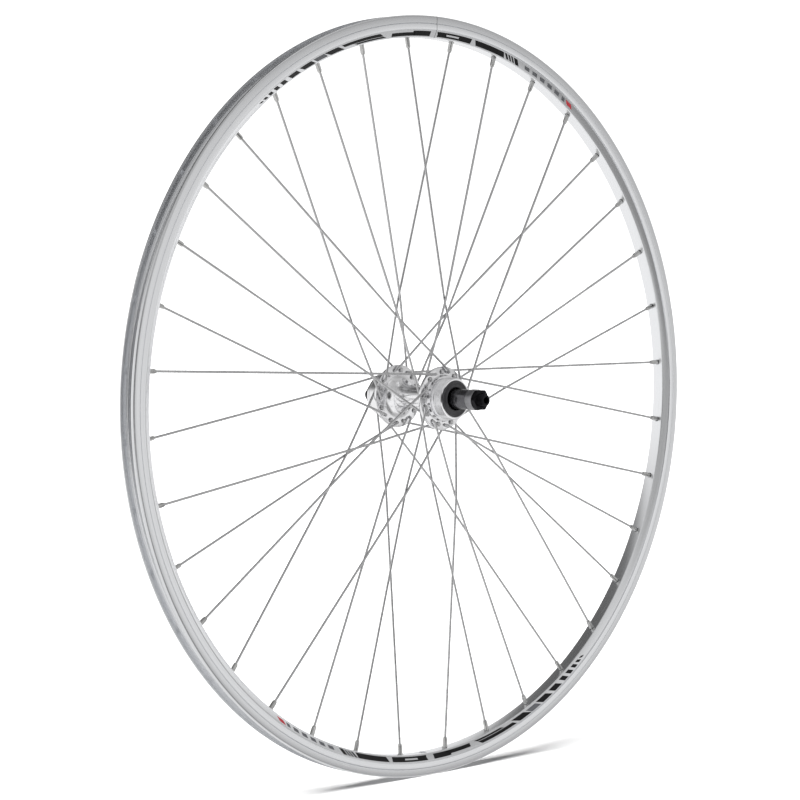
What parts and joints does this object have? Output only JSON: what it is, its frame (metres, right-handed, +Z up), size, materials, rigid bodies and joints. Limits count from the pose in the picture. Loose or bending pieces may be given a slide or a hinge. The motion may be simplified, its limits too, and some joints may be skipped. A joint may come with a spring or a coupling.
{
  "type": "bicycle rear wheel",
  "caption": "Spoked 700C bicycle rear wheel with a double-wall rim and a cup-and-cone hub threaded for a freewheel.",
  "frame": {"origin": "centre of the wheel: on the axle, midway between the locknut faces and in the rim's middle plane", "axes": "+Y along the axle towards the left (non-drive) side, +Z up, +X forward"},
  "size_m": [0.634, 0.14, 0.634],
  "materials": {
    "satin_aluminium": "extruded, silver anodised, brake tracks turned bright",
    "polished_aluminium": "forged, machined and polished",
    "spoke_steel": "drawn stainless wire with nickel plated brass nipples",
    "bearing_steel": "hardened and ground",
    "zinc_steel": "zinc plated",
    "black_steel": "black oxide",
    "charcoal_nylon": "moulded, fine matt texture"
  },
  "bodies": {
    "axle_set": {"axle": "black_steel", "cone_left": "bearing_steel", "cone_right": "bearing_steel", "lock_washer_left": "zinc_steel", "lock_washer_right": "zinc_steel", "spacer_right": "zinc_steel", "locknut_left": "black_steel", "locknut_right": "black_steel"},
    "wheel": {"rim": "satin_aluminium", "hub_shell": "polished_aluminium", "bearing_cup_left": "bearing_steel", "bearing_cup_right": "bearing_steel", "dust_cap_left": "charcoal_nylon", "dust_cap_right": "charcoal_nylon", "spoke_01": "spoke_steel", "spoke_02": "spoke_steel", "spoke_03": "spoke_steel", "spoke_04": "spoke_steel", "spoke_05": "spoke_steel", "spoke_06": "spoke_steel", "spoke_07": "spoke_steel", "spoke_08": "spoke_steel", "spoke_09": "spoke_steel", "spoke_10": "spoke_steel", "spoke_11": "spoke_steel", "spoke_12": "spoke_steel", "spoke_13": "spoke_steel", "spoke_14": "spoke_steel", "spoke_15": "spoke_steel", "spoke_16": "spoke_steel", "spoke_17": "spoke_steel", "spoke_18": "spoke_steel", "spoke_19": "spoke_steel", "spoke_20": "spoke_steel", "spoke_21": "spoke_steel", "spoke_22": "spoke_steel", "spoke_23": "spoke_steel", "spoke_24": "spoke_steel", "spoke_25": "spoke_steel", "spoke_26": "spoke_steel", "spoke_27": "spoke_steel", "spoke_28": "spoke_steel", "spoke_29": "spoke_steel", "spoke_30": "spoke_steel", "spoke_31": "spoke_steel", "spoke_32": "spoke_steel", "spoke_33": "spoke_steel", "spoke_34": "spoke_steel", "spoke_35": "spoke_steel", "spoke_36": "spoke_steel"},
    "balls_left": {"ball_cage_left": "bearing_steel"},
    "balls_right": {"ball_cage_right": "bearing_steel"}
  },
  "joints": [
    {"name": "wheel_spin", "type": "hinge", "parent": "axle_set", "child": "wheel", "pos_m": [0, 0, 0], "axis": [0, 1, 0], "continuous": true},
    {"name": "balls_left_roll", "type": "hinge", "parent": "axle_set", "child": "balls_left", "pos_m": [0, 0.0469, 0], "axis": [0, 1, 0], "continuous": true},
    {"name": "balls_right_roll", "type": "hinge", "parent": "axle_set", "child": "balls_right", "pos_m": [0, -0.0273, 0], "axis": [0, 1, 0], "continuous": true}
  ],
  "couplings": [
    {"joint": "balls_left_roll", "follows": "wheel_spin", "ratio": 0.61},
    {"joint": "balls_right_roll", "follows": "wheel_spin", "ratio": 0.61}
  ]
}
